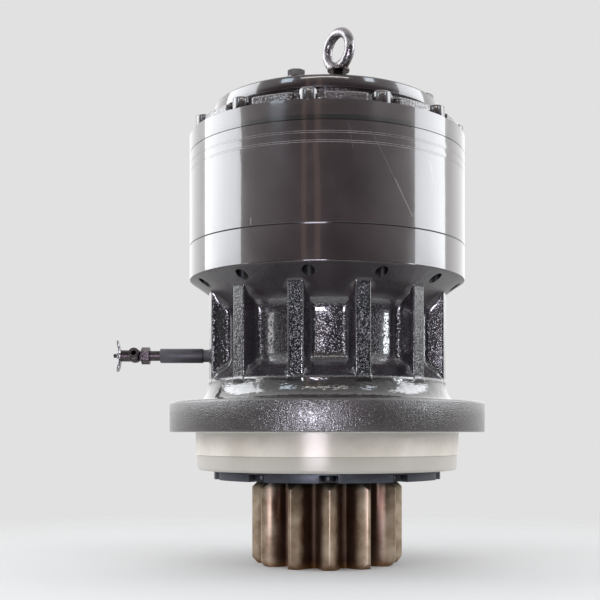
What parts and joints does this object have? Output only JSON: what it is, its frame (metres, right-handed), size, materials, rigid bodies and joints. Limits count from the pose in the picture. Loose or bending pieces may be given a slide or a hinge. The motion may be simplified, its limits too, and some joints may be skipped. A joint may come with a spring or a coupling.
{
  "type": "excavator swing gearbox",
  "caption": "Upright planetary swing reduction gearbox with a ribbed cast housing, mounting flange and spigot, output pinion below, motor face on top, lifting eye and drain cock.",
  "frame": {"origin": "gearbox axis, in the seating plane of the mounting flange", "axes": "+Z along the axis towards the motor, -Z towards the output pinion, -Y the front, -X the drain side"},
  "size_m": [0.45, 0.38, 0.6034],
  "materials": {
    "cast_paint": "dark brown-grey gloss paint on rough casting",
    "smooth_paint": "dark brown-grey gloss paint on machined faces",
    "dark_screw": "painted over with the casing",
    "bright_steel": "bright plated steel",
    "retainer_steel": "blue-grey phosphated steel",
    "gear_steel": "ground and oiled steel",
    "bearing_steel": "ground steel",
    "bronze": "bronze",
    "seal_rubber": "matt black nitrile",
    "pipe_steel": "dark oiled steel",
    "cock_brass": "plated brass"
  },
  "bodies": {
    "housing": {"lower_housing": "cast_paint", "ring_gear": "smooth_paint", "top_cover": "cast_paint", "adapter_plate": "smooth_paint", "cover_screws": "dark_screw", "plate_bolts": "dark_screw", "plate_spring_washers": "dark_screw", "eye_bolt": "bright_steel", "lower_bearing_outer_ring": "bearing_steel", "upper_bearing_outer_ring": "bearing_steel", "bearing_retainer": "retainer_steel", "retainer_screws": "retainer_steel", "oil_seal": "seal_rubber", "drain_nipple": "pipe_steel", "drain_pipe": "pipe_steel", "drain_cock_body": "cock_brass", "casing_dowels": "bearing_steel"},
    "output_shaft": {"pinion_shaft": "gear_steel", "lower_bearing_inner_ring": "bearing_steel", "upper_bearing_inner_ring": "bearing_steel", "bearing_spacer": "gear_steel", "second_carrier": "gear_steel", "second_planet_pins": "bearing_steel", "shaft_end_plate": "gear_steel", "shaft_end_screws": "retainer_steel", "second_sun_thrust_pad": "bronze", "second_planet_washers": "bronze"},
    "lower_roller_set": {"lower_bearing_rollers": "bearing_steel", "lower_bearing_cage": "bronze"},
    "upper_roller_set": {"upper_bearing_rollers": "bearing_steel", "upper_bearing_cage": "bronze"},
    "first_carrier_set": {"first_carrier": "gear_steel", "first_planet_pins": "bearing_steel", "first_planet_washers": "bronze", "second_sun_gear": "gear_steel", "input_sun_thrust_pad": "bronze"},
    "input_sun": {"input_sun_gear": "gear_steel"},
    "first_planet_set_1": {"first_planet_1": "gear_steel", "first_planet_bush_1": "bronze"},
    "first_planet_set_2": {"first_planet_2": "gear_steel", "first_planet_bush_2": "bronze"},
    "first_planet_set_3": {"first_planet_3": "gear_steel", "first_planet_bush_3": "bronze"},
    "second_planet_set_1": {"second_planet_1": "gear_steel", "second_planet_bush_1": "bronze"},
    "second_planet_set_2": {"second_planet_2": "gear_steel", "second_planet_bush_2": "bronze"},
    "second_planet_set_3": {"second_planet_3": "gear_steel", "second_planet_bush_3": "bronze"},
    "cock_handle": {"drain_cock_plug": "cock_brass", "drain_wing_handle": "bright_steel", "drain_handle_nut": "bright_steel"}
  },
  "joints": [
    {"name": "output_spin", "type": "hinge", "parent": "housing", "child": "output_shaft", "pos_m": [0, 0, 0], "axis": [0, 0, 1], "continuous": true},
    {"name": "lower_roller_orbit", "type": "hinge", "parent": "housing", "child": "lower_roller_set", "pos_m": [0, 0, 0], "axis": [0, 0, 1], "continuous": true},
    {"name": "upper_roller_orbit", "type": "hinge", "parent": "housing", "child": "upper_roller_set", "pos_m": [0, 0, 0], "axis": [0, 0, 1], "continuous": true},
    {"name": "first_carrier_spin", "type": "hinge", "parent": "housing", "child": "first_carrier_set", "pos_m": [0, 0, 0], "axis": [0, 0, 1], "continuous": true},
    {"name": "input_spin", "type": "hinge", "parent": "housing", "child": "input_sun", "pos_m": [0, 0, 0], "axis": [0, 0, 1], "continuous": true},
    {"name": "first_planet_1_spin", "type": "hinge", "parent": "first_carrier_set", "child": "first_planet_set_1", "pos_m": [0, 0.0825, 0], "axis": [0, 0, 1], "continuous": true},
    {"name": "first_planet_2_spin", "type": "hinge", "parent": "first_carrier_set", "child": "first_planet_set_2", "pos_m": [-0.07145, -0.04125, 0], "axis": [0, 0, 1], "continuous": true},
    {"name": "first_planet_3_spin", "type": "hinge", "parent": "first_carrier_set", "child": "first_planet_set_3", "pos_m": [0.07145, -0.04125, 0], "axis": [0, 0, 1], "continuous": true},
    {"name": "second_planet_1_spin", "type": "hinge", "parent": "output_shaft", "child": "second_planet_set_1", "pos_m": [0, 0.09, 0], "axis": [0, 0, 1], "continuous": true},
    {"name": "second_planet_2_spin", "type": "hinge", "parent": "output_shaft", "child": "second_planet_set_2", "pos_m": [-0.07794, -0.045, 0], "axis": [0, 0, 1], "continuous": true},
    {"name": "second_planet_3_spin", "type": "hinge", "parent": "output_shaft", "child": "second_planet_set_3", "pos_m": [0.07794, -0.045, 0], "axis": [0, 0, 1], "continuous": true},
    {"name": "drain_cock_turn", "type": "hinge", "parent": "housing", "child": "cock_handle", "pos_m": [-0.234, 0, 0.093], "axis": [-1, 0, 0], "range_deg": [0, 90]}
  ],
  "couplings": [
    {"joint": "lower_roller_orbit", "follows": "output_spin", "ratio": 0.42778},
    {"joint": "upper_roller_orbit", "follows": "output_spin", "ratio": 0.43226},
    {"joint": "first_carrier_spin", "follows": "output_spin", "ratio": 3.6},
    {"joint": "input_spin", "follows": "output_spin", "ratio": 16.971},
    {"joint": "first_planet_1_spin", "follows": "output_spin", "ratio": -9.8526},
    {"joint": "first_planet_2_spin", "follows": "output_spin", "ratio": -9.8526},
    {"joint": "first_planet_3_spin", "follows": "output_spin", "ratio": -9.8526},
    {"joint": "second_planet_1_spin", "follows": "output_spin", "ratio": -3.25},
    {"joint": "second_planet_2_spin", "follows": "output_spin", "ratio": -3.25},
    {"joint": "second_planet_3_spin", "follows": "output_spin", "ratio": -3.25}
  ]
}
